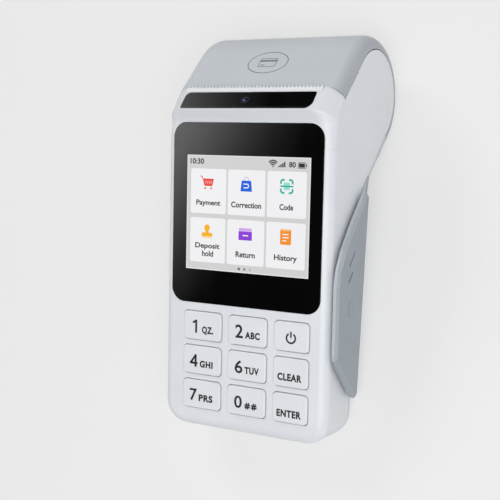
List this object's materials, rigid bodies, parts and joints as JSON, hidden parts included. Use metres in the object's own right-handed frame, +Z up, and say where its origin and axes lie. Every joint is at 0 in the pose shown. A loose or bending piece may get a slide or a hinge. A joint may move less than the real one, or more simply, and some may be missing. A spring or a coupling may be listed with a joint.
{
  "type": "handheld card-payment terminal",
  "caption": "Handheld payment terminal with a touch screen, keypad, side card-swipe rail, chip slot and a hinged round cover over a receipt paper roll and printer.",
  "frame": {"origin": "middle of the box on the table it lies on", "axes": "+X to the right of the user, +Y away from the user, +Z up; it lies on its back, face up"},
  "size_m": [0.0796, 0.1672, 0.0638],
  "materials": {
    "white_plastic": "smooth satin",
    "grey_plastic": "fine satin",
    "rail_plastic": "fine satin",
    "key_plastic": "satin with dark printed signs",
    "black_gloss": "polished",
    "cover_glass": "polished, black from behind",
    "screen": "lit",
    "dark_plastic": "moulded",
    "board": "solder mask",
    "bright_metal": "bright",
    "heatsink_metal": "brushed",
    "gear_brass": "cut",
    "gear_plastic": "moulded",
    "rubber_black": "matt",
    "rubber_grey": "matt",
    "ceramic_white": "glazed",
    "paper_white": "thermal paper",
    "core_card": "plain",
    "pack_wrap": "shrink wrap",
    "coil_copper": "plain"
  },
  "bodies": {
    "housing": {"front_housing": "white_plastic", "rear_housing": "grey_plastic", "swipe_rail": "rail_plastic", "tear_bar": "white_plastic", "scan_window": "black_gloss", "camera_module": "dark_plastic", "display_glass": "cover_glass", "glass_gasket": "rubber_black", "lcd_module": "screen", "keypad_mat": "rubber_grey", "main_board": "board", "shield_cans": "bright_metal", "backup_cell": "bright_metal", "sim_holder": "dark_plastic", "usb_socket": "bright_metal", "speaker": "dark_plastic", "card_reader": "dark_plastic", "mag_spring": "bright_metal", "battery_pack": "pack_wrap", "hinge_pin": "bright_metal", "paper_tray": "dark_plastic", "print_head": "ceramic_white", "head_heatsink": "heatsink_metal", "head_spring": "bright_metal", "printer_frame": "bright_metal", "stepper_motor": "heatsink_metal", "idler_axle": "bright_metal", "case_screws": "bright_metal", "rubber_feet": "rubber_black"},
    "cover": {"paper_cover": "grey_plastic", "platen_bushings": "gear_plastic", "antenna_loop": "coil_copper"},
    "platen": {"platen_roller": "rubber_black", "platen_shaft": "bright_metal"},
    "roll": {"paper_roll": "paper_white", "roll_core": "core_card"},
    "pinion": {"motor_pinion": "gear_brass"},
    "idler": {"idler_gear": "gear_plastic"},
    "door": {"battery_door": "grey_plastic"},
    "swipe_head": {"mag_head": "bright_metal"},
    "key_1": {"key_1": "key_plastic"},
    "key_2": {"key_2": "key_plastic"},
    "key_power": {"key_power": "key_plastic"},
    "key_4": {"key_4": "key_plastic"},
    "key_6": {"key_6": "key_plastic"},
    "key_clear": {"key_clear": "key_plastic"},
    "key_7": {"key_7": "key_plastic"},
    "key_0": {"key_0": "key_plastic"},
    "key_enter": {"key_enter": "key_plastic"}
  },
  "joints": [
    {"name": "cover_hinge", "type": "hinge", "parent": "housing", "child": "cover", "pos_m": [-0.00178, 0.04515, 0.00613], "axis": [-1, 0, 0], "range_deg": [0, 75]},
    {"name": "roll_spin", "type": "hinge", "parent": "housing", "child": "roll", "pos_m": [-0.00178, 0.05888, 0.02185], "axis": [1, 0, 0], "continuous": true},
    {"name": "pinion_spin", "type": "hinge", "parent": "housing", "child": "pinion", "pos_m": [-0.00178, 0.0357, 0.04575], "axis": [1, 0, 0], "continuous": true},
    {"name": "idler_spin", "type": "hinge", "parent": "housing", "child": "idler", "pos_m": [-0.00178, 0.04234, 0.05026], "axis": [1, 0, 0], "continuous": true},
    {"name": "platen_spin", "type": "hinge", "parent": "cover", "child": "platen", "pos_m": [-0.00178, 0.0508, 0.04919], "axis": [1, 0, 0], "continuous": true},
    {"name": "door_hinge", "type": "hinge", "parent": "housing", "child": "door", "pos_m": [-0.00178, -0.05599, 0.00477], "axis": [-1, 0, 0], "range_deg": [0, 70]},
    {"name": "swipe_head_push", "type": "slide", "parent": "housing", "child": "swipe_head", "axis": [-1, 0, 0], "range_m": [0, 0.0005], "stiffness_N_per_m": 1500, "springref_m": -0.0002, "deforming": ["mag_spring"]},
    {"name": "key_1_press", "type": "slide", "parent": "housing", "child": "key_1", "axis": [0, 0.2756, -0.9613], "range_m": [0, 0.0009], "stiffness_N_per_m": 1200, "springref_m": -0.0003, "deforming": ["keypad_mat"]},
    {"name": "key_2_press", "type": "slide", "parent": "housing", "child": "key_2", "axis": [0, 0.2756, -0.9613], "range_m": [0, 0.0009], "stiffness_N_per_m": 1200, "springref_m": -0.0003, "deforming": ["keypad_mat"]},
    {"name": "key_power_press", "type": "slide", "parent": "housing", "child": "key_power", "axis": [0, 0.2756, -0.9613], "range_m": [0, 0.0009], "stiffness_N_per_m": 1200, "springref_m": -0.0003, "deforming": ["keypad_mat"]},
    {"name": "key_4_press", "type": "slide", "parent": "housing", "child": "key_4", "axis": [0, 0.2756, -0.9613], "range_m": [0, 0.0009], "stiffness_N_per_m": 1200, "springref_m": -0.0003, "deforming": ["keypad_mat"]},
    {"name": "key_6_press", "type": "slide", "parent": "housing", "child": "key_6", "axis": [0, 0.2756, -0.9613], "range_m": [0, 0.0009], "stiffness_N_per_m": 1200, "springref_m": -0.0003, "deforming": ["keypad_mat"]},
    {"name": "key_clear_press", "type": "slide", "parent": "housing", "child": "key_clear", "axis": [0, 0.2756, -0.9613], "range_m": [0, 0.0009], "stiffness_N_per_m": 1200, "springref_m": -0.0003, "deforming": ["keypad_mat"]},
    {"name": "key_7_press", "type": "slide", "parent": "housing", "child": "key_7", "axis": [0, 0.2756, -0.9613], "range_m": [0, 0.0009], "stiffness_N_per_m": 1200, "springref_m": -0.0003, "deforming": ["keypad_mat"]},
    {"name": "key_0_press", "type": "slide", "parent": "housing", "child": "key_0", "axis": [0, 0.2756, -0.9613], "range_m": [0, 0.0009], "stiffness_N_per_m": 1200, "springref_m": -0.0003, "deforming": ["keypad_mat"]},
    {"name": "key_enter_press", "type": "slide", "parent": "housing", "child": "key_enter", "axis": [0, 0.2756, -0.9613], "range_m": [0, 0.0009], "stiffness_N_per_m": 1200, "springref_m": -0.0003, "deforming": ["keypad_mat"]}
  ],
  "couplings": [
    {"joint": "idler_spin", "follows": "platen_spin", "ratio": -0.7},
    {"joint": "pinion_spin", "follows": "platen_spin", "ratio": 1.1667}
  ]
}
